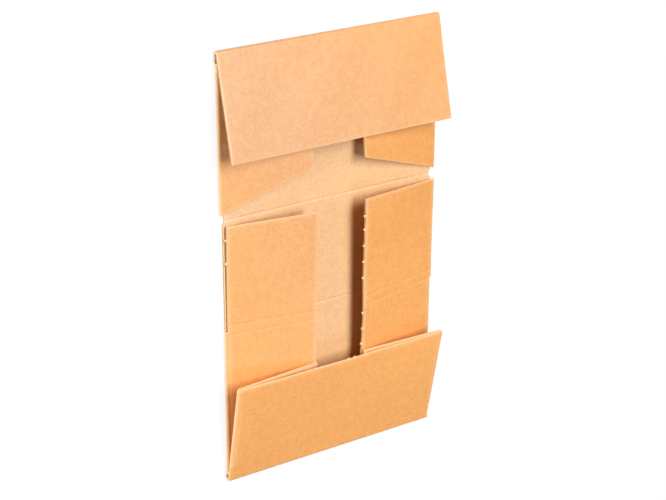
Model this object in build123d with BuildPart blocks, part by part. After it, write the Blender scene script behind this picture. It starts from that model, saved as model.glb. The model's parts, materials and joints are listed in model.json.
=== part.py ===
"""A wrap-around shipping box, folded flat: one die-cut corrugated sheet with its ends and sides turned in."""

import os
from math import cos, radians, sin

from build123d import *

# Board and panels: X runs across the sheet, Y along it from base to lid, Z up from the outer face
board = 3.0
sheet_width = 300.0
base_length = 207.3
back_length = 134.1
lid_length = 201.7
overrun = 60.0

# End flaps, measured from the folded end of the sheet to the free edge
top_flap_length = 127.0
top_flap_angle = 13.8
top_fold_inner = 0.5
bottom_flap_length = 141.1
bottom_flap_angle = 11.8
bottom_fold_inner = 1.5
bottom_flap_width = 296.0
behind_flap_relief = 20.0
fold_clearance = 0.3
fold_lap_angle = 20.0

# Side flaps, measured from the folded side of the sheet to the free edge
side_flap_width = 115.4
base_flap_relief = 9.0
base_flap_level = 25.0
lid_flap_relief = 14.6
lid_flap_gap = 7.0
lid_flap_taper = 42.0

# Ears: the ends of the base's side flaps, parted from the back panel by a slot with a notch at its end
slot_past_crease = 6.0
slot_draw = 4.6
ear_gap = 6.6
ear_slant = 4.6
notch_radius = 6.0
notch_depth = 2.6

# Creases pressed across the panels, and the pair pressed across each base flap
crease_width = 2.6
crease_depth = 0.7
flap_crease_width = 2.0
flap_crease_depth = 0.6
flap_crease_above = 3.8
flap_crease_below = 6.7
crease_band = 12.0

# Nibs left on the cut edges where the sheet was held in its die
nib_length = 1.6
nib_reach = 1.2
nib_thickness = 2.0
nib_start = 20.8
nib_pitch = 21.3
nib_count = 9
nib_missing = 5
ear_nib_start = 16.8
ear_nib_pitch = 29.0
ear_nib_count = 2
bottom_nib_shares = (0.020, 0.050, 0.103)

# How far each side flap stands off its panel, in degrees, from one end of the flap to the other
left, right = -1, 1
base_flap_angles = {left: (0.1, 0.2, 9.2, 9.7, 9.7), right: (0.1, 0.2, 9.8, 11.0, 11.0)}
ear_angles = {left: (9.7, 9.7, 14.1), right: (11.0, 11.0, 11.2)}
lid_flap_angles = {left: (8.6, 8.6, 7.9, 0.2), right: (10.0, 10.0, 9.0, 0.2)}
behind_flap_angles = {left: (0.2, 3.4), right: (0.2, 2.0)}

# How far the side folds draw in from the sheet's edges, as they loosen towards the back panel
base_fold_draws = {left: (1.5, 1.9, 2.8, 3.5, 3.5), right: (0, 0.5, 2.0, 2.0, 2.0)}
lid_fold_draws = {left: (1.0, 0.6, 0.4, 0), right: (0.2, 0.2, 0.2, 0)}

# How far each ear's cut root lies from its fold's axis, and how far it lifts off the panel
ear_insets = {left: (0, 0.2, 1.0), right: (-4.0, -3.7, -1.8)}
ear_lifts = {left: (0, 0, 1.2), right: (0, 0, 3.0)}

# Places along the sheet
sheet_length = base_length + back_length + lid_length
low_end = -sheet_length / 2
base_crease = low_end + base_length
lid_crease = base_crease + back_length
high_end = lid_crease + lid_length
base_flap_start = low_end + base_flap_relief
base_flap_knee = base_flap_start + base_flap_level
base_flap_mouth = low_end + bottom_flap_length * cos(radians(bottom_flap_angle))
slot_end = base_crease - slot_past_crease
ear_outer_top = lid_crease - ear_gap
ear_inner_top = ear_outer_top + ear_slant
lid_flap_low = lid_crease + lid_flap_gap
lid_flap_tip = lid_flap_low + lid_flap_taper
lid_flap_mouth = high_end - top_flap_length * cos(radians(top_flap_angle))
lid_flap_end = high_end - lid_flap_relief

# Places across the sheet, and the axes of the two end folds
fold_axis_x = sheet_width / 2 - board
behind_axis_x = bottom_flap_width / 2 - board
slot_edge_x = sheet_width / 2 - slot_draw
flap_reach = side_flap_width - board
flap_tip_x = fold_axis_x - max(base_fold_draws[left]) - flap_reach
top_fold_outer = top_fold_inner + board
bottom_fold_outer = bottom_fold_inner + board
top_axis = (0, high_end - top_fold_outer, top_fold_outer)
bottom_axis = (0, low_end + bottom_fold_outer, bottom_fold_outer)


def along(angle):
    """Direction in which a flap runs, in its section."""
    return Vector(cos(radians(angle)), sin(radians(angle)))


def across(angle):
    """Direction from a flap's inner face to its outer face, in its section."""
    return Vector(-sin(radians(angle)), cos(radians(angle)))


def side_plane(side, y, draw, lift=0):
    """Section plane on a side fold's axis, local x pointing in over the panel and local y up."""
    axis = (side * (fold_axis_x - draw), y, board + lift)
    return Plane(origin=axis, x_dir=(-side, 0, 0), z_dir=(0, side, 0))


def end_plane(axis, angle, towards):
    """Section plane on an end fold's axis, local x along the flap and local y out of its outer face."""
    run = (0, towards * cos(radians(angle)), sin(radians(angle)))
    return Plane(origin=axis, x_dir=run, z_dir=(towards, 0, 0))


def behind_plane(side, reach):
    """Section plane on a side fold of the bottom flap, local y pointing away behind that flap."""
    flap = end_plane(bottom_axis, bottom_flap_angle, 1)
    root = flap.from_local_coords((reach, bottom_fold_inner, side * behind_axis_x))
    return Plane(origin=root, x_dir=(-side, 0, 0), z_dir=flap.x_dir * -side)


def flap_section(plane, angle):
    """Section of a side flap, with the half-round fold at its root."""
    tip = along(angle) * flap_reach
    shoulder = across(angle) * board
    fold_side = along(angle / 2) * -board
    with BuildSketch(plane) as section:
        with BuildLine():
            Polyline((0, -board), (0, 0), tip, tip + shoulder, shoulder)
            ThreePointArc(shoulder, fold_side, (0, -board))
        make_face()
    return section.sketch


def ear_section(plane, angle, inset):
    """Section of an ear: the flap alone, cut free at its root."""
    root = along(angle) * inset
    tip = along(angle) * flap_reach
    shoulder = across(angle) * board
    with BuildSketch(plane) as section:
        with BuildLine():
            Polyline(root, tip, tip + shoulder, root + shoulder, close=True)
        make_face()
    return section.sketch


def loft_spans(sections):
    """Ruled spans from each section to the next, so that the flap twists along its length."""
    for near, far in zip(sections, sections[1:]):
        loft([near, far], ruled=True)


def end_fold_section(axis, angle, inner, towards):
    """Section of the board curling round an end fold, from the panel's end to the flap's root."""
    start = 90 - fold_lap_angle
    sweep = 180 - angle + fold_lap_angle
    with BuildSketch(end_plane(axis, angle, towards)) as section:
        with BuildLine():
            outside = CenterArc((0, 0), inner + board, start, sweep)
            inside = CenterArc((0, 0), inner, start, sweep)
            Line(outside @ 0, inside @ 0)
            Line(outside @ 1, inside @ 1)
        make_face()
    return section.sketch


def end_flap_section(axis, angle, inner, reach, towards):
    """Section of an end flap, hollowed at its root to turn round the fold."""
    outer = inner + board
    with BuildSketch(end_plane(axis, angle, towards)) as section:
        with BuildLine():
            Polyline((0, inner), (reach, inner), (reach, outer), (0, outer), close=True)
        make_face()
        Circle(outer + fold_clearance, mode=Mode.SUBTRACT)
    return section.sketch


def base_stations(side):
    """Where a base flap's sections stand: place along the sheet, angle and draw of its fold."""
    places = (base_flap_start, base_flap_knee, base_flap_mouth, base_crease - crease_band, slot_end)
    return list(zip(places, base_flap_angles[side], base_fold_draws[side]))


def ear_stations(side):
    """Where an ear's sections stand: place along the sheet, angle, lift, and inset of its root."""
    places = (slot_end, base_crease + crease_band, ear_inner_top)
    return list(zip(places, ear_angles[side], ear_lifts[side], ear_insets[side]))


def lid_stations(side):
    """Where a lid flap's sections stand: place along the sheet, angle and draw of its fold."""
    places = (lid_flap_low, lid_flap_tip, lid_flap_mouth, lid_flap_end)
    return list(zip(places, lid_flap_angles[side], lid_fold_draws[side]))


def panel_edge(side):
    """Outline of the three panels along one side, from the bottom fold to the top fold."""
    edge = side * sheet_width / 2
    slot_edge = side * slot_edge_x
    base = [(side * (fold_axis_x - draw), y) for y, angle, draw in base_stations(side)]
    lid = [(side * (fold_axis_x - draw), y) for y, angle, draw in lid_stations(side)]
    low = [(edge, bottom_axis[1]), (edge, base_flap_start)]
    slot = [(slot_edge, slot_end), (slot_edge, lid_flap_low)]
    high = [(edge, lid_flap_end), (edge, top_axis[1])]
    return low + base + slot + lid + high


def share_between(stations, y):
    """Values between the two stations that a place along the sheet lies between."""
    near, far = next(pair for pair in zip(stations, stations[1:]) if y <= pair[1][0])
    share = (y - near[0]) / (far[0] - near[0])
    return [a + share * (b - a) for a, b in zip(near[1:], far[1:])]


def on_base_flap(side, y, reach=None):
    """Frame at mid-thickness of a base flap, so far past its fold's axis or else at its root, local x along
    the flap and local z out of its outer face."""
    if y < slot_end:
        angle, draw = share_between(base_stations(side), y)
        lift, inset = 0, 0
    else:
        angle, lift, inset = share_between(ear_stations(side), y)
        draw = base_fold_draws[side][-1]
    plane = side_plane(side, y, draw, lift)
    place = along(angle) * (inset if reach is None else reach) + across(angle) * (board / 2)
    run = plane.x_dir * cos(radians(angle)) + plane.y_dir * sin(radians(angle))
    return Plane(origin=plane.from_local_coords(place), x_dir=run, z_dir=run.cross(plane.z_dir) * -1)


# Folded sheet: base, back and lid panels, with the four side flaps turned in over them
with BuildPart() as folded_sheet:
    with BuildSketch() as panels:
        with BuildLine():
            Polyline(*panel_edge(right), *reversed(panel_edge(left)), close=True)
        make_face()
        for side in (left, right):
            notch_x = side * (slot_edge_x - notch_depth + notch_radius)
            with Locations((notch_x, (ear_outer_top + lid_flap_low) / 2)):
                Circle(notch_radius, mode=Mode.SUBTRACT)
    extrude(amount=board)

    # Folded ends that the end flaps turn round
    for fold in (
        end_fold_section(top_axis, top_flap_angle, top_fold_inner, -1),
        end_fold_section(bottom_axis, bottom_flap_angle, bottom_fold_inner, 1),
    ):
        extrude(fold, amount=sheet_width / 2, both=True)

    # Side flaps of the base with their ears, and side flaps of the lid
    for side in (left, right):
        for flap in (base_stations(side), lid_stations(side)):
            loft_spans([flap_section(side_plane(side, y, draw), angle) for y, angle, draw in flap])
        root_draw = base_fold_draws[side][-1]
        loft_spans([
            ear_section(side_plane(side, y, root_draw, lift), angle, inset)
            for y, angle, lift, inset in ear_stations(side)
        ])

    # Slanted ends of the ears and tapered ends of the lid's flaps
    with BuildSketch(Plane.XY.offset(board)):
        for side in (left, right):
            edge = side * sheet_width / 2
            free = side * flap_tip_x
            with BuildLine():
                Polyline((edge, ear_outer_top), (free, ear_inner_top), (edge, ear_inner_top), close=True)
            make_face()
            with BuildLine():
                Polyline((edge, lid_flap_low), (free, lid_flap_low), (free, lid_flap_tip), close=True)
            make_face()
    extrude(amount=overrun, mode=Mode.SUBTRACT)

    # Creases pressed into the inner face of the panels
    with BuildSketch(Plane.YZ):
        for crease in (base_crease, lid_crease):
            with BuildLine():
                Polyline(
                    (crease - crease_width / 2, board), (crease, board - crease_depth),
                    (crease + crease_width / 2, board), close=True,
                )
            make_face()
    extrude(amount=slot_edge_x, both=True, mode=Mode.SUBTRACT)

    # Pair of creases across each base flap, and nibs along its cut edges
    for side in (left, right):
        for crease in (base_crease + flap_crease_above, base_crease - flap_crease_below):
            flap = on_base_flap(side, crease)
            face = flap.from_local_coords((0, 0, board / 2))
            with BuildSketch(Plane(origin=face, x_dir=flap.y_dir, z_dir=flap.x_dir)):
                with BuildLine():
                    Polyline(
                        (-flap_crease_width / 2, 0), (0, -flap_crease_depth),
                        (flap_crease_width / 2, 0), close=True,
                    )
                make_face()
            extrude(amount=side_flap_width, mode=Mode.SUBTRACT)
    nib_places = [
        on_base_flap(right, ear_inner_top - nib_start - nib_pitch * step, flap_reach)
        for step in range(nib_count)
        if step != nib_missing
    ]
    nib_places += [
        on_base_flap(left, ear_outer_top - ear_nib_start - ear_nib_pitch * step)
        for step in range(ear_nib_count)
    ]
    with Locations(nib_places):
        Box(2 * nib_reach, nib_length, nib_thickness)
folded_sheet.part.label = "folded_sheet"

# Top flap: the lid's front, turned back over the lid
with BuildPart() as top_flap:
    top_reach = top_flap_length - top_fold_outer
    section = end_flap_section(top_axis, top_flap_angle, top_fold_inner, top_reach, -1)
    extrude(section, amount=sheet_width / 2, both=True)
top_flap.part.label = "top_flap"

# Bottom flap: the front panel, turned back over the base with its own side flaps folded behind it
with BuildPart() as bottom_flap:
    bottom_reach = bottom_flap_length - bottom_fold_outer
    section = end_flap_section(bottom_axis, bottom_flap_angle, bottom_fold_inner, bottom_reach, 1)
    extrude(section, amount=behind_axis_x, both=True)
    root = end_flap_section(bottom_axis, bottom_flap_angle, bottom_fold_inner, behind_flap_relief, 1)
    extrude(root, amount=bottom_flap_width / 2, both=True)
    for side in (left, right):
        near, far = behind_flap_angles[side]
        loft_spans([
            flap_section(behind_plane(side, behind_flap_relief), near),
            flap_section(behind_plane(side, bottom_reach), far),
        ])
    flap = end_plane(bottom_axis, bottom_flap_angle, 1)
    nib_places = [
        Plane(
            origin=flap.from_local_coords((bottom_reach, bottom_fold_inner + board / 2, share * sheet_width)),
            x_dir=flap.x_dir,
            z_dir=flap.y_dir,
        )
        for share in bottom_nib_shares
    ]
    with Locations(nib_places):
        Box(2 * nib_reach, nib_length, nib_thickness)
bottom_flap.part.label = "bottom_flap"

os.makedirs("parts", exist_ok=True)
for piece in (folded_sheet, top_flap, bottom_flap):
    export_step(piece.part, f"parts/{piece.part.label}.step")
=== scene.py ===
"""A wrap-around shipping box folded flat: kraft board with liners, open flutes and rounded folds."""

import json
from math import cos, pi, radians, sin

import bmesh
import bpy
import numpy as np
from mathutils import Matrix, Vector


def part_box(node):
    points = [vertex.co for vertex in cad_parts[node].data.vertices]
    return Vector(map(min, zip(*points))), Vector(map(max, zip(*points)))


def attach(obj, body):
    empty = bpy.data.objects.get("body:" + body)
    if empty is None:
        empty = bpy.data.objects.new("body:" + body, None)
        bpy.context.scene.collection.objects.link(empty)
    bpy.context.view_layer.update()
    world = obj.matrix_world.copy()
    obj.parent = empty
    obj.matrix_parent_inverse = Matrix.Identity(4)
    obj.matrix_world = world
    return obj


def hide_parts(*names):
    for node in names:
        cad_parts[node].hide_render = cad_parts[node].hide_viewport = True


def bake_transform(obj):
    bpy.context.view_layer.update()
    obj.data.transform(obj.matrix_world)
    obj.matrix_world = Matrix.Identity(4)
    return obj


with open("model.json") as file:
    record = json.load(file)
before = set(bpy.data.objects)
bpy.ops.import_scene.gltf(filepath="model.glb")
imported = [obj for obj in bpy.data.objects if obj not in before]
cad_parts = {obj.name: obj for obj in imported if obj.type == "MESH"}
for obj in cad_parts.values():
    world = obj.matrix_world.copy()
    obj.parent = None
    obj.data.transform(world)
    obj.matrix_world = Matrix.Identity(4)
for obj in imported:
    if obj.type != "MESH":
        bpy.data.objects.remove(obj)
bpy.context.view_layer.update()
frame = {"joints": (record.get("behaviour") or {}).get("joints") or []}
joints = {joint["name"]: joint for joint in frame["joints"]}
sheet_low, sheet_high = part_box("folded_sheet")

# The part's driving dimensions, by the names in its source, in metres and degrees
board = 0.003
base_length = 0.2073
back_length = 0.1341
side_flap_width = 0.1154
base_flap_relief = 0.009
base_flap_level = 0.025
lid_flap_gap = 0.007
lid_flap_taper = 0.042
lid_flap_relief = 0.0146
slot_past_crease = 0.006
slot_draw = 0.0046
ear_gap = 0.0066
ear_slant = 0.0046
notch_radius = 0.006
notch_depth = 0.0026
crease_band = 0.012
top_flap_length = 0.127
top_flap_angle = 13.8
bottom_flap_length = 0.1411
bottom_flap_angle = 11.8
bottom_flap_width = 0.296
behind_flap_relief = 0.020

# Make-up of the board: two liners with a fluted medium between them
liner = 0.0004
medium = 0.0003
flute_pitch = 0.0065
flute_steps = 10

# Its rim: how deep it stands open, and how the liners are pinched and scuffed beside a cut
flute_recess = 0.0006
plain_recess = 0.0003
hidden_recess = 0.0002
edge_press = 0.0003
edge_fade = 0.0010
edge_wear = 0.5
wear_fade = 0.0013

# Folds: the gap inside, the flat lead at each end, and the paling of the ridge: scuffing, with a painted
# highlight too on the side folds
fold_gap = 0.00015
fold_lead = 0.0005
fold_arc = pi * board / 2
fold_steps = 14
side_fold_wear_and_highlight = 0.8
end_fold_wear = 0.12
ridge_place = 0.5 * fold_arc
ridge_spread = 0.35 * fold_arc

# Grid lines: how far apart on a flat stretch, and how close beside an edge and a crease
grid_step = 0.006
edge_lines = (0.0003, 0.0008, 0.0016, 0.003)
crease_lines = (0, 0.0004, 0.0008, 0.0012, 0.0017, 0.0023, 0.003, 0.0042)
line_gap = 0.00015
hair = 0.00001
notch_steps = 21
smooth_angle = radians(40)
flute_inset = np.array([[hair, flute_recess + hidden_recess]])

# Axes of the two end folds, and places along the sheet
top_axis = Vector(joints["top_flap_fold"]["pos_m"])
bottom_axis = Vector(joints["bottom_flap_fold"]["pos_m"])
low_end, high_end = sheet_low.y, sheet_high.y
base_crease = low_end + base_length
lid_crease = base_crease + back_length
base_flap_start = low_end + base_flap_relief
base_flap_knee = base_flap_start + base_flap_level
slot_end = base_crease - slot_past_crease
ear_outer_top = lid_crease - ear_gap
ear_inner_top = ear_outer_top + ear_slant
ear_knee = ear_outer_top - 4 * edge_lines[-1]
lid_flap_low = lid_crease + lid_flap_gap
lid_flap_tip = lid_flap_low + lid_flap_taper
lid_flap_end = high_end - lid_flap_relief
notch_y = (ear_outer_top + lid_flap_low) / 2

# Places across the sheet
half_width = sheet_high.x
fold_axis_x = half_width - board
slot_edge_x = half_width - slot_draw
flap_reach = side_flap_width - board

# End flaps
top_angle = radians(top_flap_angle)
top_reach = top_flap_length - top_axis.z
top_mouth = top_axis.y - top_reach * cos(top_angle)
bottom_angle = radians(bottom_flap_angle)
bottom_gap = bottom_axis.z - board
bottom_reach = bottom_flap_length - bottom_axis.z
bottom_mouth = bottom_axis.y + bottom_reach * cos(bottom_angle)
bottom_half = bottom_flap_width / 2
behind_axis_x = bottom_half - board

# How the base's side flaps lie along the sheet: degrees off the panel, draw and lift of their folds
left, right = -1, 1
base_stations = (
    base_flap_start, base_flap_knee, bottom_mouth, base_crease - crease_band,
    base_crease + crease_band, ear_inner_top,
)
base_angles = {left: (0.1, 0.2, 9.2, 9.7, 9.7, 14.1), right: (0.1, 0.2, 9.8, 11.0, 11.0, 11.2)}
base_draws = {
    left: (0.0015, 0.0019, 0.0028, 0.0035, 0.0035, 0.0035),
    right: (0, 0.0005, 0.002, 0.002, 0.002, 0.002),
}
base_lifts = {left: (0, 0, 0, 0, 0, 0.0012), right: (0, 0, 0, 0, 0, 0.003)}

# The same for the lid's side flaps, and how far the side flaps reach past their folds
lid_stations = (lid_flap_low, lid_flap_tip, top_mouth, lid_flap_end)
lid_angles = {left: (8.6, 8.6, 7.9, 0.2), right: (10.0, 10.0, 9.0, 0.2)}
lid_draws = {left: (0.001, 0.0006, 0.0004, 0), right: (0.0002, 0.0002, 0.0002, 0)}
lid_lifts = (0, 0, 0, 0)
side_reach = {left: flap_reach, right: flap_reach + 0.0025}

# How far each ear's cut root lies from its fold's axis
ear_stations = (slot_end, base_crease + crease_band, ear_inner_top)
ear_insets = {left: (0, 0.0002, 0.001), right: (-0.004, -0.0037, -0.0018)}

# Flaps behind the bottom flap, and the half width of its stub below them
behind_stations = (behind_flap_relief, bottom_reach)
behind_angles = {left: (0.2, 3.4), right: (0.2, 2.0)}
stub_half = {left: bottom_half + 0.001, right: bottom_half - 0.0016}

# Sway of the flaps: height, where it is full, waves in radians to the metre, and each flap's phase
sway_height = 0.0002
sway_start = 0.03
swell_along, swell_past, swell_shift = 23, 31, 1.7
ripple_along, ripple_past = 61, 40
base_phase, lid_phase, top_phase, bottom_phase = 1.0, 3.0, 0.4, 2.1

# Creases: half width, depth and the lip beside them, and how they are paled: a painted highlight below the
# lid crease, scuffing and a painted highlight along the flap creases
crease_spread = 0.0014
crease_depth = 0.00036
crease_lip = 0.0001
lid_highlight_place = lid_crease - 0.003
lid_highlight_spread = 0.004
lid_crease_highlight = 0.06
flap_crease_spread = 0.0016
flap_crease_depth = 0.00025
flap_crease_lip = 0.00007
flap_crease_swell = 0.4
flap_crease_wear_and_highlight = {left: 0.04, right: 0.1}
flap_creases = {
    left: (base_crease + 0.0018, base_crease - 0.0100),
    right: (base_crease + 0.0038, base_crease - 0.0067),
}

# Nibs on the cut edges: their size, their torn shape, and where they stand
nib_length = 0.0024
nib_reach = 0.0021
nib_thickness = 0.0022
nib_lines = 4
nib_crown, nib_rounding = 1.15, 0.5
nib_lean = 0.15
nib_waves = (5, 4)
nib_shifts = (3000, 2000)
base_nib_pitch = 0.0213
base_nib_rows = ((0, 1, 2), (0.0175, 1, 5), (0.0218, 6, 9))
base_nibs = [
    ear_inner_top - start - base_nib_pitch * step
    for start, first, past_last in base_nib_rows
    for step in range(first, past_last)
]
ear_nib_start, ear_nib_pitch = 0.0168, 0.029
ear_nibs = [ear_outer_top - ear_nib_start - ear_nib_pitch * step for step in range(2)]
bottom_nibs = [share * 2 * half_width for share in (0.020, 0.050, 0.103)]

# Faces of the board, as material slots of each piece
OUTER, INNER, EDGE, MEDIUM = range(4)

# Liners: screen colours of the paper, its deep pulp and its pale scuffed fibre, which also paints
# highlights on folds and creases, and the seed
liner_tones = {
    "kraft_outer": ((250, 178, 103), (221, 151, 82), (251, 216, 168), 4.0),
    "kraft_inner": ((246, 198, 145), (220, 173, 124), (249, 217, 174), 21.0),
}
# Noises of a liner: grains to the metre across and along the sheet, step of the seed, and detail
liner_noises = {
    "clouds": (16, 11, 0, 3.0),
    "mottle": (420, 300, 3, 4.0),
    "blotches": (120, 85, 13, 2.0),
    "fibres": (900, 4200, 7, 3.0),
    "flecks": (800, 650, 11, 1.0),
}
noise_span = (0.3, 0.7)
# How much each noise deepens a liner's colour, the flutes beneath it, and the painted light and shade over
# the sheet: painted shade deepening the top flap's end, painted light paling the bottom flap's end and the
# right side
liner_depths = {"clouds": 0.16, "mottle": 0.64, "blotches": 0.32, "fibres": 0.12}
rib_depth = 0.032
painted_light_shade_along = (-0.36, 0.44)
painted_light_across = (0.0, -0.24)
blank_half = 0.265
# The painted sheen towards the lid's left corner, flecks, patchy paling, gloss and bump
painted_sheen_span = (0.12, 0.42)
painted_sheen_tint = (0.88, 1.0, 1.4, 1.0)
fleck_span = (0.66, 0.76)
fleck_depth = 0.36
pale_patch_span = (0.35, 0.65)
pale_patch_shares = (0.6, 1.0)
liner_roughness = (0.42, 0.52)
liner_gloss = 0.8
liner_heights = {"fibres": 0.5, "mottle": 0.3}
rib_height = 0.04
liner_bump = 0.3
bump_depth = 0.0003

# Cut board: screen colours of the paper and its deep pulp, and the seed
cut_tones = {
    "cut_edge": ((254, 222, 174), (241, 197, 144), 9.0),
    "medium": ((240, 202, 156), (214, 166, 116), 15.0),
}
# Noises of a cut: grains to the metre, step of the seed, detail, and how much it deepens the colour
cut_fibres = (2600, 0, 4.0, 0.6)
cut_patches = (120, 5, 2.0, 0.4)
cut_roughness = (0.82, 0.95)
cut_gloss = 0.2
cut_bump = 0.5

# Floor, and how much of it shows as plain white
floor_size = 12
floor_drop = 0.0002
floor_tone = (0.9, 0.9, 0.9, 1)
floor_roughness = 0.9
floor_gloss = 0.1
floor_white = 0.88
white = (1, 1, 1, 1)

# Lamps: place, width and length, and power; and the strength of the room's own light
lamps = {
    "key": ((0.62, 1.65, 3.75), (1.45, 3.1), 208),
    "side": ((-2.2, 0.1, 0.44), (0.8, 0.3), 29),
    "front": ((0.35, -1.15, 1.9), (0.6, 1.0), 6),
}
room_strength = 0.05

# The photograph's camera, for an image of 666 by 500
picture_width, focal_pixels = 666, 1655.2
sensor_width = 36
camera_place = Vector((-0.98336, 0.79270, 1.53225))
camera_ahead = Vector((0.49729, -0.39951, -0.77013))
camera_across = Vector((0.84076, 0.00291, 0.54139))


class Piece:
    """Points and faces of one piece, gathered stretch by stretch."""

    def __init__(self, name):
        self.name = name
        self.points, self.flats, self.wears_and_highlights = [], [], []
        self.faces, self.tones = [], []
        self.count = 0

    def add_points(self, points, flat, wear_and_highlight):
        """Adds a grid of points, with their places on the flat blank and how pale they are painted by
        scuffing and painted highlights, and gives their numbers.
        """
        shape = points.shape[:-1]
        self.points.append(points.reshape(-1, 3))
        self.flats.append(np.stack(np.broadcast_arrays(*flat), -1).reshape(-1, 2))
        self.wears_and_highlights.append(np.broadcast_to(wear_and_highlight, shape).reshape(-1))
        size = int(np.prod(shape))
        self.count += size
        return np.arange(self.count - size, self.count).reshape(shape)

    def add_strip(self, near, far, tone):
        """Quads between two lines of points that both close on themselves."""
        quads = np.stack([near, np.roll(near, -1), np.roll(far, -1), far], -1)
        self.faces.append(quads)
        self.tones.append(np.broadcast_to(tone, len(quads)))

    def add_face(self, grid, tone):
        """Quads over a grid of points."""
        corners = [grid[:-1, :-1], grid[1:, :-1], grid[1:, 1:], grid[:-1, 1:]]
        quads = np.stack(corners, -1).reshape(-1, 4)
        self.faces.append(quads)
        self.tones.append(np.full(len(quads), tone))

    def build(self, materials):
        """Makes the Blender object."""
        mesh = bpy.data.meshes.new(self.name)
        mesh.from_pydata(np.concatenate(self.points).tolist(), [], np.concatenate(self.faces).tolist())
        for material in materials:
            mesh.materials.append(material)
        mesh.polygons.foreach_set("material_index", np.concatenate(self.tones).astype(np.int32))
        corners = np.zeros(len(mesh.loops), np.int32)
        mesh.loops.foreach_get("vertex_index", corners)
        flat = np.concatenate(self.flats)[corners]
        mesh.uv_layers.new(name="flat").uv.foreach_set("vector", flat.astype(np.float32).ravel())
        # How pale each point is painted: scuffing, and painted highlights on folds and creases
        wear_and_highlight = mesh.attributes.new("wear_and_highlight", "FLOAT", "POINT")
        wear_and_highlight.data.foreach_set("value", np.concatenate(self.wears_and_highlights).astype(np.float32))
        work = bmesh.new()
        work.from_mesh(mesh)
        bmesh.ops.recalc_face_normals(work, faces=work.faces)
        work.to_mesh(mesh)
        work.free()
        mesh.shade_smooth()
        mesh.set_sharp_from_angle(angle=smooth_angle)
        thing = bpy.data.objects.new(self.name, mesh)
        bpy.context.scene.collection.objects.link(thing)
        return thing


def rim_of(grid):
    """The values round the border of a grid, in order."""
    return np.concatenate([grid[0, :-1], grid[:-1, -1], grid[-1, :0:-1], grid[:0:-1, 0]])


def lines(low, high, marks=(), step=grid_step):
    """Grid lines from low to high, closer beside both ends and beside each mark."""
    even = np.linspace(low, high, max(2, round((high - low) / step) + 1))
    ends = [low + gap for gap in edge_lines] + [high - gap for gap in edge_lines]
    beside = [mark + way * gap for mark in marks for gap in crease_lines for way in (-1, 1)]
    wanted = np.unique(np.concatenate([ends, beside, even]))
    wanted = wanted[(wanted > low + line_gap) & (wanted < high - line_gap)]
    kept = [low]
    for value in wanted:
        if value - kept[-1] > line_gap:
            kept.append(value)
    return np.array(kept + [high])


def flute_lines(low, high):
    """Lines close enough together to follow the flutes."""
    return np.linspace(low, high, max(2, round((high - low) / flute_pitch * flute_steps)))


def between(stations, values):
    """A smooth run of values along the sheet, through each station's value and never past it."""
    stations, values = np.array(stations), np.array(values, float)
    slopes = np.zeros_like(values)
    steps = np.diff(values) / np.diff(stations)
    slopes[0], slopes[-1] = steps[0], steps[-1]
    for place in range(1, len(values) - 1):
        before, after = steps[place - 1], steps[place]
        slopes[place] = 2 * before * after / (before + after) if before * after > 0 else 0

    def at(along):
        span = np.clip(np.searchsorted(stations, along) - 1, 0, len(stations) - 2)
        width = stations[span + 1] - stations[span]
        t = np.clip((along - stations[span]) / width, 0, 1)
        return (
            values[span] * (1 + 2 * t) * (1 - t) ** 2
            + values[span + 1] * t * t * (3 - 2 * t)
            + width * (slopes[span] * t * (1 - t) ** 2 - slopes[span + 1] * t * t * (1 - t))
        )

    return at


def flap_place(origin_at, inward, up, angle_at, gap=fold_gap, sway=0.0, phase=0.0, cut_from=np.inf):
    """Where a folded flap's points lie, from the run past its fold's axis, the place along the fold, and
    the height above the board's inner face. A run below zero goes round the fold to the board that it is
    folded over, or straight on where the flap is cut free."""
    inward, up = np.array(inward, float), np.array(up, float)

    def place(run, along, height):
        run, along, height = np.broadcast_arrays(run, along, height)
        angle = angle_at(along)
        past = np.where(along > cut_from, run, np.maximum(run, 0))
        lead = np.maximum(past - run - fold_arc, 0)
        share = np.clip((past - run) / fold_arc, 0, 1)
        turn = pi / 2 + angle + share * (pi - angle)
        swell = np.sin(swell_along * along + phase) * np.sin(swell_past * past + swell_shift * phase)
        wave = swell + np.sin(ripple_along * along + ripple_past * past + phase)
        radius = gap + height + sway * wave * np.clip(past / sway_start, 0, 1)
        across = radius * np.cos(turn) + past * np.cos(angle) + lead
        above = radius * np.sin(turn) + past * np.sin(angle)
        return origin_at(along) + across[..., None] * inward + above[..., None] * up

    return place


def panel_place(run, along, height):
    """Where a panel's points lie: across, along the sheet, and down from the inner face."""
    run, along, height = np.broadcast_arrays(run, along, height)
    return np.stack([run, along, board - height], -1)


def panel_flat(run, along):
    """A panel's points on the flat blank."""
    return run, along


def groove(along, places, spread, depth, lip):
    """A pressed crease with a low lip at each side."""
    total = np.zeros_like(along)
    for place in places:
        off = np.abs(along - place)
        beside = lip * np.exp(-(((off - 2 * spread) / spread) ** 2))
        total += depth * np.exp(-((off / spread) ** 2)) - beside
    return total


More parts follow.
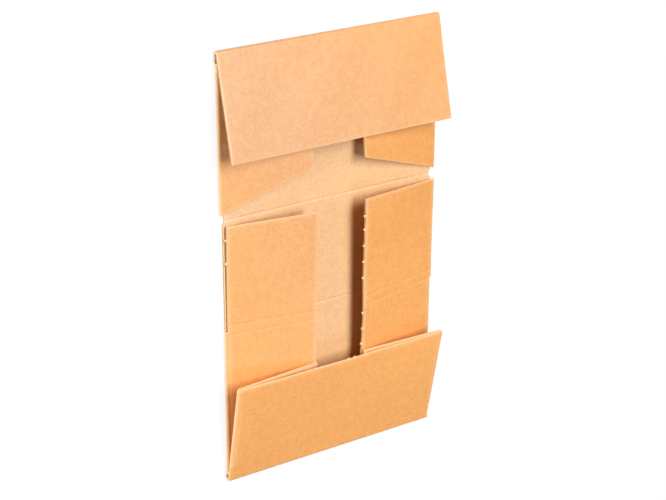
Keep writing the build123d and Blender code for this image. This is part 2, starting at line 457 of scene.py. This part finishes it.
def add_board(piece, place, flat, run, along, recess, dents=(0, 0), wear_and_highlight=0.0):
    """A stretch of board over a grid: both faces, and a rim that stands open between the liners. The
    recess says how deep the rim is open at the low and high ends of the run and of the place along."""
    run, along = np.broadcast_arrays(run, along)
    gaps = (run - run[:1], run[-1:] - run, along - along[:, :1], along[:, -1:] - along)
    cut = [gap for gap, deep in zip(gaps, recess) if np.max(deep) > hidden_recess]
    press = sum((edge_press * np.exp(-np.abs(gap) / edge_fade) for gap in cut), np.zeros(run.shape))
    # Paler beside cuts from scuffing, plus the scuffing and painted highlights passed in
    scuff_and_highlight = sum((edge_wear * np.exp(-np.abs(gap) / wear_fade) for gap in cut), np.zeros(run.shape)) + wear_and_highlight
    inner, outer = press + dents[0], board - press - dents[1]
    faces = []
    for height, tone in ((outer, OUTER), (inner, INNER)):
        faces.append(piece.add_points(place(run, along, height), flat(run, along), scuff_and_highlight))
        piece.add_face(faces[-1], tone)
    into_run, into_along = np.zeros(run.shape), np.zeros(run.shape)
    into_run[0], into_run[-1] = recess[0], -recess[1]
    into_along[:, 0], into_along[:, -1] = recess[2], -recess[3]
    edge_run, edge_along = rim_of(run), rim_of(along)
    deep_run, deep_along = edge_run + rim_of(into_run), edge_along + rim_of(into_along)
    high, low = rim_of(outer) - liner, rim_of(inner) + liner
    rings = [rim_of(faces[0])]
    for at_run, at_along, height in (
        (edge_run, edge_along, high), (deep_run, deep_along, high),
        (deep_run, deep_along, low), (edge_run, edge_along, low),
    ):
        rings.append(piece.add_points(place(at_run, at_along, height), flat(at_run, at_along), 0.0))
    rings.append(rim_of(faces[1]))
    deep = np.maximum(np.abs(rim_of(into_run)), np.abs(rim_of(into_along)))
    core = np.where(np.maximum(deep, np.roll(deep, -1)) > plain_recess, MEDIUM, EDGE)
    for near, far, tone in zip(rings, rings[1:], (EDGE, core, core, core, EDGE)):
        piece.add_strip(near, far, tone)


def add_flutes(piece, place, flat, run, along):
    """The fluted medium showing at a cut edge, over a grid that reaches from the edge into its recess."""
    run, along = np.broadcast_arrays(run, along)
    swing = board / 2 - liner - medium / 2
    middle = board / 2 + swing * np.sin(2 * pi * flat(run, along)[1] / flute_pitch)
    faces = []
    for way in (1, -1):
        height = middle + way * medium / 2
        faces.append(piece.add_points(place(run, along, height), flat(run, along), 0.0))
        piece.add_face(faces[-1], MEDIUM)
    piece.add_strip(rim_of(faces[0]), rim_of(faces[1]), EDGE)


def add_nib(piece, place, flat, run, along):
    """A torn nib of fibre standing off a cut edge."""
    steps = np.linspace(-1, 1, nib_lines)[:, None]
    sides = np.linspace(-1, 1, nib_lines)[None, :]
    taper = np.sqrt(nib_crown - nib_rounding * steps**2 - nib_rounding * sides**2)
    lean = nib_lean * np.sin(nib_waves[0] * steps + nib_shifts[0] * along)
    lean = lean * np.cos(nib_waves[1] * sides + nib_shifts[1] * along)
    at_run = run + steps * nib_reach + 0 * sides
    at_along = along + sides * nib_length / 2 + 0 * steps
    faces = []
    for way in (1, -1):
        height = board / 2 + nib_thickness / 2 * (way * taper + lean)
        faces.append(piece.add_points(place(at_run, at_along, height), flat(at_run, at_along), 1.0))
        piece.add_face(faces[-1], EDGE)
    piece.add_strip(rim_of(faces[0]), rim_of(faces[1]), EDGE)


def add_fold(piece, place, flat, low, high, most_wear_and_highlight):
    """The board curling round a fold, from a panel to its flap, paler along the ridge from scuffing and,
    on the side folds, a painted highlight.
    """
    bend = np.linspace(-fold_arc, 0, fold_steps)
    run = np.concatenate([[-fold_arc - fold_lead], bend, [fold_lead]])
    recess = (hidden_recess, hidden_recess, plain_recess, plain_recess)
    # Paler along the ridge: scuffing, and on the side folds a painted highlight too
    wear_and_highlight = most_wear_and_highlight * np.exp(-(((run + ridge_place) / ridge_spread) ** 2))[:, None]
    add_board(piece, place, flat, run[:, None], lines(low, high)[None, :], recess, wear_and_highlight=wear_and_highlight)


def panel_half(side, along):
    """How far the panels reach to one side at a place along the sheet, up to the folds' first lines."""
    off = np.abs(along - notch_y)
    notch = np.sqrt(np.maximum(notch_radius**2 - off**2, 0)) - notch_radius + notch_depth
    base = fold_axis_x - between(base_stations, base_draws[side])(along) - fold_lead
    lid = fold_axis_x - between(lid_stations, lid_draws[side])(along) - fold_lead
    return np.select(
        [along < base_flap_start, along < slot_end, along < lid_flap_low, along < lid_flap_end],
        [half_width - base_draws[side][0], base, slot_edge_x - np.maximum(notch, 0), lid],
        half_width,
    )


def add_panels(piece):
    """Base, back and lid: one sheet, creased twice and notched at the ends of the upper crease."""
    steps = (base_flap_start, slot_end, lid_flap_low, lid_flap_end)
    beside_steps = [y + way * hair for y in steps for way in (-1, 1)]
    creases = (base_crease, lid_crease)
    notch_half = np.sqrt(notch_radius**2 - (notch_radius - notch_depth) ** 2)
    notch_lines = notch_y + notch_half * np.sin(np.linspace(-pi / 2, pi / 2, notch_steps))
    ends = bottom_axis.y + fold_lead, top_axis.y - fold_lead
    along = np.unique(np.concatenate([lines(*ends, creases), notch_lines, beside_steps]))
    along = along[np.concatenate([[True], np.diff(along) > hair])]
    share = lines(0, 1, step=grid_step / half_width)
    low, high = -panel_half(left, along), panel_half(right, along)
    run = low[None, :] + share[:, None] * (high - low)[None, :]
    pressed = groove(np.broadcast_to(along, run.shape), creases, crease_spread, crease_depth, crease_lip)
    # Painted highlight: a pale band just below the lid crease
    pale_band = lid_crease_highlight * np.exp(-(((along - lid_highlight_place) / lid_highlight_spread) ** 2))
    open_end = np.where((along > slot_end) & (along < lid_flap_low), flute_recess, plain_recess)
    recess = (open_end, open_end, hidden_recess, hidden_recess)
    add_board(piece, panel_place, panel_flat, run, along[None, :], recess, (pressed, 0), pale_band[None, :])
    strip = flute_lines(slot_end + hair, lid_flap_low - hair)
    for side in (left, right):
        reach = panel_half(side, strip)[:, None]
        add_flutes(piece, panel_place, panel_flat, side * (reach - flute_inset), strip[:, None])


def side_place(side, stations, angles, draws, lifts, phase, cut_from=np.inf):
    """Where a side flap's points lie, and where they are on the flat blank."""
    angle_at = between(stations, np.radians(angles))
    draw_at, lift_at = between(stations, draws), between(stations, lifts)

    def origin_at(along):
        across = side * (fold_axis_x - draw_at(along))
        return np.stack([across, along, board + fold_gap + lift_at(along)], -1)

    def flat(run, along):
        run, along = np.broadcast_arrays(run, along)
        return side * (fold_axis_x + fold_arc + run), along

    inward, up = (-side, 0, 0), (0, 0, 1)
    place = flap_place(origin_at, inward, up, angle_at, fold_gap, sway_height, phase, cut_from)
    return place, flat


def add_base_flap(piece, side):
    """A side flap of the base, with the ear at its end and the pair of creases across it."""
    lie = base_angles[side], base_draws[side], base_lifts[side]
    place, flat = side_place(side, base_stations, *lie, base_phase + side, slot_end)
    add_fold(piece, place, flat, base_flap_start, slot_end, side_fold_wear_and_highlight)
    inset_at = between(ear_stations, ear_insets[side])
    steps = np.array([slot_end - hair, slot_end + hair])
    along = np.unique(np.concatenate([lines(base_flap_start, ear_inner_top, flap_creases[side]), steps]))
    root = np.where(along < slot_end, fold_lead, inset_at(along))
    reach = side_reach[side]
    share = lines(0, 1, step=grid_step / reach)
    run = root[None, :] + share[:, None] * (reach - root)[None, :]
    top = ear_outer_top + (ear_inner_top - ear_outer_top) * run / reach
    stretch = np.maximum(along - ear_knee, 0) / (ear_inner_top - ear_knee)
    along = np.minimum(along, ear_knee)[None, :] + stretch[None, :] * (top - ear_knee)
    pressed = groove(along, flap_creases[side], flap_crease_spread, flap_crease_depth, flap_crease_lip)
    # Paler along the creases: scuffed fibre and a painted highlight, stronger on the right flap
    pale_band = flap_crease_wear_and_highlight[side] * np.clip(pressed / flap_crease_depth, 0, 1)
    recess = (flute_recess, flute_recess, plain_recess, plain_recess)
    add_board(piece, place, flat, run, along, recess, (-flap_crease_swell * pressed, pressed), pale_band)
    free = flute_lines(base_flap_start + plain_recess, ear_inner_top - plain_recess)[:, None]
    add_flutes(piece, place, flat, reach - flute_inset, free)
    cut = flute_lines(slot_end + plain_recess, ear_outer_top - plain_recess)[:, None]
    add_flutes(piece, place, flat, inset_at(cut) + flute_inset, cut)
    if side == right:
        for spot in base_nibs:
            add_nib(piece, place, flat, reach, spot)
    else:
        for spot in ear_nibs:
            add_nib(piece, place, flat, inset_at(spot), spot)


def add_lid_flap(piece, side):
    """A side flap of the lid, with its tapered lower end."""
    lie = lid_angles[side], lid_draws[side], lid_lifts
    place, flat = side_place(side, lid_stations, *lie, lid_phase + side)
    add_fold(piece, place, flat, lid_flap_low, lid_flap_end, side_fold_wear_and_highlight)
    reach = side_reach[side]
    run = lines(fold_lead, reach)
    low = lid_flap_low + (lid_flap_tip - lid_flap_low) * (run + board) / (reach + board)
    share = (lines(lid_flap_low, lid_flap_end) - lid_flap_low) / (lid_flap_end - lid_flap_low)
    along = low[:, None] + share[None, :] * (lid_flap_end - low)[:, None]
    recess = (hidden_recess, flute_recess, plain_recess, plain_recess)
    add_board(piece, place, flat, run[:, None], along, recess)
    free = flute_lines(lid_flap_tip + plain_recess, lid_flap_end - plain_recess)[:, None]
    add_flutes(piece, place, flat, reach - flute_inset, free)


def end_place(axis, towards, angle, phase):
    """Where an end flap's points lie, and where they are on the flat blank."""

    def origin_at(along):
        return np.stack([along, np.full_like(along, axis.y), np.full_like(along, axis.z)], -1)

    def flat(run, along):
        run, along = np.broadcast_arrays(run, along)
        return along, axis.y - towards * (fold_arc + run)

    def angle_at(along):
        return np.full_like(along, angle)

    inward, up = (0, towards, 0), (0, 0, 1)
    return flap_place(origin_at, inward, up, angle_at, axis.z - board, sway_height, phase), flat


def add_top_flap(piece, place, flat):
    """The lid's front, turned back over the lid."""
    run, along = lines(fold_lead, top_reach), lines(-half_width, half_width)
    recess = (hidden_recess, plain_recess, flute_recess, flute_recess)
    add_board(piece, place, flat, run[:, None], along[None, :], recess)
    strip = flute_lines(fold_lead, top_reach - plain_recess)[:, None]
    for side in (left, right):
        add_flutes(piece, place, flat, strip, side * (half_width - flute_inset))


def add_bottom_flap(piece, place, flat):
    """The front panel, turned back over the base, with its own side flaps folded behind it."""
    steps = np.array([behind_flap_relief - hair, behind_flap_relief + hair])
    run = np.unique(np.concatenate([lines(fold_lead, bottom_reach), steps]))
    folded = behind_axis_x - fold_lead
    low, high = (np.where(run < behind_flap_relief, stub_half[side], folded) for side in (left, right))
    share = lines(0, 1, step=grid_step / (2 * bottom_half))
    along = -low[:, None] + share[None, :] * (low + high)[:, None]
    recess = (hidden_recess, plain_recess, plain_recess, plain_recess)
    add_board(piece, place, flat, run[:, None], along, recess)
    for spot in bottom_nibs:
        add_nib(piece, place, flat, bottom_reach, spot)
    for side in (left, right):
        add_behind_flap(piece, side)


def add_behind_flap(piece, side):
    """A side flap of the bottom flap, folded behind it."""
    run_way = np.array([0, cos(bottom_angle), sin(bottom_angle)])
    out_way = np.array([0, -sin(bottom_angle), cos(bottom_angle)])
    start = np.array([side * behind_axis_x, bottom_axis.y, bottom_axis.z])
    start = start + (bottom_gap - fold_gap) * out_way
    angle_at = between(behind_stations, np.radians(behind_angles[side]))

    def origin_at(along):
        return start + along[..., None] * run_way

    def flat(run, along):
        run, along = np.broadcast_arrays(run, along)
        return side * (behind_axis_x + fold_arc + run), bottom_axis.y - fold_arc - along

    place = flap_place(origin_at, (-side, 0, 0), -out_way, angle_at)
    add_fold(piece, place, flat, behind_flap_relief, bottom_reach, side_fold_wear_and_highlight)
    run, along = lines(fold_lead, flap_reach), lines(behind_flap_relief, bottom_reach)
    recess = (hidden_recess, flute_recess, plain_recess, plain_recess)
    add_board(piece, place, flat, run[:, None], along[None, :], recess)
    free = flute_lines(behind_flap_relief + plain_recess, bottom_reach - plain_recess)[:, None]
    add_flutes(piece, place, flat, flap_reach - flute_inset, free)


def srgb(red, green, blue):
    """A screen colour, each part from 0 to 255, as the linear colour that a shader takes."""
    parts = np.array([red, green, blue]) / 255
    linear = np.where(parts <= 0.04045, parts / 12.92, ((parts + 0.055) / 1.055) ** 2.4)
    return (*linear, 1.0)


def add_node(tree, kind, values=None, **settings):
    """A node with its settings, and its sockets given values or joined to other nodes' outputs."""
    node = tree.nodes.new("ShaderNode" + kind)
    for name, value in settings.items():
        setattr(node, name, value)
    for socket, value in (values or {}).items():
        if isinstance(value, bpy.types.NodeSocket):
            tree.links.new(value, node.inputs[socket])
        else:
            node.inputs[socket].default_value = value
    return node


def add_noise(tree, flat, across, along, seed, detail):
    """Noise over the flat blank, with so many grains to the metre across the sheet and along it."""
    scaled = add_node(tree, "VectorMath", {0: flat, 1: (across, along, 1.0)}, operation="MULTIPLY")
    shift = {0: scaled.outputs[0], 1: (seed, -seed, seed)}
    moved = add_node(tree, "VectorMath", shift, operation="ADD")
    noise = add_node(tree, "TexNoise", {"Vector": moved.outputs[0], "Scale": 1.0, "Detail": detail})
    return noise.outputs["Fac"]


def add_range(tree, value, low, high, to_low, to_high):
    """A value between low and high carried over to another range, and held at its ends."""
    values = {"Value": value, "From Min": low, "From Max": high, "To Min": to_low, "To Max": to_high}
    return add_node(tree, "MapRange", values).outputs["Result"]


def add_sum(tree, first, second, operation="ADD"):
    """Two values added, or joined by another operation."""
    return add_node(tree, "Math", {0: first, 1: second}, operation=operation).outputs[0]


def add_mix(tree, share, first, second, blend="MIX"):
    """A mix of two colours."""
    values = {"Fac": share, "Color1": first, "Color2": second}
    return add_node(tree, "MixRGB", values, blend_type=blend).outputs["Color"]


def start_material(name):
    """A new material, its nodes, its shader, and the place on the flat blank."""
    material = bpy.data.materials.new(name)
    material.use_nodes = True
    tree = material.node_tree
    flat = add_node(tree, "UVMap", uv_map="flat").outputs["UV"]
    return material, tree, tree.nodes["Principled BSDF"], flat


def finish_shader(tree, shader, colour, roughness, gloss, height, bump):
    """Joins the looks of a board's face to its shader."""
    tree.links.new(colour, shader.inputs["Base Color"])
    tree.links.new(roughness, shader.inputs["Roughness"])
    shader.inputs["Specular IOR Level"].default_value = gloss
    values = {"Strength": bump, "Distance": bump_depth, "Height": height}
    tree.links.new(add_node(tree, "Bump", values).outputs["Normal"], shader.inputs["Normal"])


def liner_material(name, paper, deep, pale, seed):
    """Kraft liner: cloudy pulp, fibres, flecks, faint flute lines, painted light and shade over the sheet,
    a painted sheen towards the lid's left corner, and folds and creases paled by scuffing and painted
    highlights.
    """
    material, tree, shader, flat = start_material(name)
    noises = {
        kind: add_noise(tree, flat, across, along, seed + step, detail)
        for kind, (across, along, step, detail) in liner_noises.items()
    }
    spot = add_node(tree, "SeparateXYZ", {0: flat}).outputs
    across, along = spot["X"], spot["Y"]
    phase = add_sum(tree, along, 2 * pi / flute_pitch, "MULTIPLY")
    ribs = add_node(tree, "Math", {0: phase}, operation="SINE").outputs[0]
    wear_and_highlight = add_node(tree, "Attribute", attribute_name="wear_and_highlight").outputs["Fac"]
    depth = add_range(tree, ribs, -1.0, 1.0, 0.0, rib_depth)
    for kind, most in liner_depths.items():
        depth = add_sum(tree, depth, add_range(tree, noises[kind], *noise_span, 0.0, most))
    # Painted light and shade along the sheet: paler towards the bottom flap's end, deeper towards the top
    # flap's end
    depth = add_sum(tree, depth, add_range(tree, along, 2 * low_end, 2 * high_end, *painted_light_shade_along))
    # Painted light across the sheet: paler towards the right side
    depth = add_sum(tree, depth, add_range(tree, across, -blank_half, blank_half, *painted_light_across))
    tinted = add_mix(tree, depth, srgb(*paper), srgb(*deep))
    # Painted sheen: the liner turns paler and bluer towards the lid's left corner
    corner = add_sum(tree, along, across, "SUBTRACT")
    painted_sheen = add_range(tree, corner, *painted_sheen_span, 0.0, 1.0)
    sheened = add_mix(tree, painted_sheen, tinted, painted_sheen_tint, "MULTIPLY")
    flecks = add_range(tree, noises["flecks"], *fleck_span, 0.0, fleck_depth)
    flecked = add_mix(tree, flecks, sheened, srgb(*deep))
    patchy = add_range(tree, noises["mottle"], *pale_patch_span, *pale_patch_shares)
    # Paler where scuffed, and where a highlight is painted on folds and creases
    colour = add_mix(tree, add_sum(tree, wear_and_highlight, patchy, "MULTIPLY"), flecked, srgb(*pale))
    roughness = add_range(tree, noises["mottle"], *noise_span, *liner_roughness)
    height = add_sum(tree, ribs, rib_height, "MULTIPLY")
    for kind, share in liner_heights.items():
        height = add_sum(tree, height, add_sum(tree, noises[kind], share, "MULTIPLY"))
    finish_shader(tree, shader, colour, roughness, liner_gloss, height, liner_bump)
    return material


def cut_material(name, paper, deep, seed):
    """Cut board: torn fibres, rougher and paler than the liners."""
    material, tree, shader, flat = start_material(name)
    noises, depths = [], []
    for grains, step, detail, most in (cut_fibres, cut_patches):
        noises.append(add_noise(tree, flat, grains, grains, seed + step, detail))
        depths.append(add_range(tree, noises[-1], *noise_span, 0.0, most))
    colour = add_mix(tree, add_sum(tree, *depths), srgb(*paper), srgb(*deep))
    roughness = add_range(tree, noises[0], *noise_span, *cut_roughness)
    finish_shader(tree, shader, colour, roughness, cut_gloss, noises[0], cut_bump)
    return material


def board_materials():
    """The outer liner, the inner liner, the cut edge and the fluted medium."""
    liners = [liner_material(name, *tones) for name, tones in liner_tones.items()]
    return liners + [cut_material(name, *tones) for name, tones in cut_tones.items()]


def add_floor():
    """A plain white floor that keeps the part's soft shadow."""
    bpy.ops.mesh.primitive_plane_add(size=floor_size, location=(0, 0, -floor_drop))
    floor = bpy.context.object
    floor.name = "floor"
    material = bpy.data.materials.new("floor_white")
    material.use_nodes = True
    tree = material.node_tree
    shader = tree.nodes["Principled BSDF"]
    shader.inputs["Base Color"].default_value = floor_tone
    shader.inputs["Roughness"].default_value = floor_roughness
    shader.inputs["Specular IOR Level"].default_value = floor_gloss
    path = add_node(tree, "LightPath")
    seen = add_sum(tree, path.outputs["Is Camera Ray"], path.outputs["Is Glossy Ray"], "MAXIMUM")
    seen = add_sum(tree, seen, path.outputs["Is Transmission Ray"], "MAXIMUM")
    glow = add_node(tree, "Emission", {"Color": white, "Strength": 1.0})
    mix = add_node(tree, "MixShader", {0: add_sum(tree, seen, floor_white, "MULTIPLY")})
    tree.links.new(shader.outputs[0], mix.inputs[1])
    tree.links.new(glow.outputs[0], mix.inputs[2])
    tree.links.new(mix.outputs[0], tree.nodes["Material Output"].inputs["Surface"])
    floor.data.materials.append(material)


def add_lamp(name, place, size, power):
    """A soft lamp that looks at the part, so wide and so long."""
    lamp = bpy.data.lights.new(name, "AREA")
    lamp.shape = "RECTANGLE"
    lamp.size, lamp.size_y = size
    lamp.energy = power
    thing = bpy.data.objects.new(name, lamp)
    thing.location = place
    thing.rotation_euler = (-Vector(place)).to_track_quat("-Z", "Y").to_euler()
    bpy.context.scene.collection.objects.link(thing)


def add_light():
    """A long soft lamp above, a low one to the left, a weak one in front, and a dim white room."""
    for name, settings in lamps.items():
        add_lamp(name, *settings)
    world = bpy.data.worlds.new("room")
    world.use_nodes = True
    tree = world.node_tree
    shade = tree.nodes["Background"]
    shade.inputs["Color"].default_value = white
    path = add_node(tree, "LightPath")
    strength = add_range(tree, path.outputs["Is Camera Ray"], 0, 1, room_strength, 1)
    tree.links.new(strength, shade.inputs["Strength"])
    bpy.context.scene.world = world


def add_camera():
    """The photograph's view."""
    camera = bpy.data.cameras.new("camera")
    camera.sensor_width = sensor_width
    camera.lens = focal_pixels * sensor_width / picture_width
    thing = bpy.data.objects.new("camera", camera)
    upward = camera_across.cross(camera_ahead)
    turn = Matrix((camera_across, upward, -camera_ahead)).transposed()
    thing.matrix_world = Matrix.Translation(camera_place) @ turn.to_4x4()
    bpy.context.scene.collection.objects.link(thing)
    bpy.context.scene.camera = thing


materials = board_materials()

sheet = Piece("sheet_board")
add_panels(sheet)
for side in (left, right):
    add_base_flap(sheet, side)
    add_lid_flap(sheet, side)
sheet_board = sheet.build(materials)
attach(sheet_board, "folded_sheet")
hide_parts("folded_sheet")

for name, body, make, axis, towards, angle, half, phase in (
    ("top", "top_flap", add_top_flap, top_axis, -1, top_angle, half_width, top_phase),
    ("bottom", "bottom_flap", add_bottom_flap, bottom_axis, 1, bottom_angle, bottom_half, bottom_phase),
):
    place, flat = end_place(axis, towards, angle, phase)
    piece = Piece(name + "_board")
    make(piece, place, flat)
    flap_board = piece.build(materials)
    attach(flap_board, body)
    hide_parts(body)
    fold = Piece(name + "_fold")
    add_fold(fold, place, flat, -half, half, end_fold_wear)
    fold_board = fold.build(materials)
    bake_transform(fold_board)

add_floor()
add_light()
add_camera()
bpy.context.scene.view_settings.view_transform = "Standard"
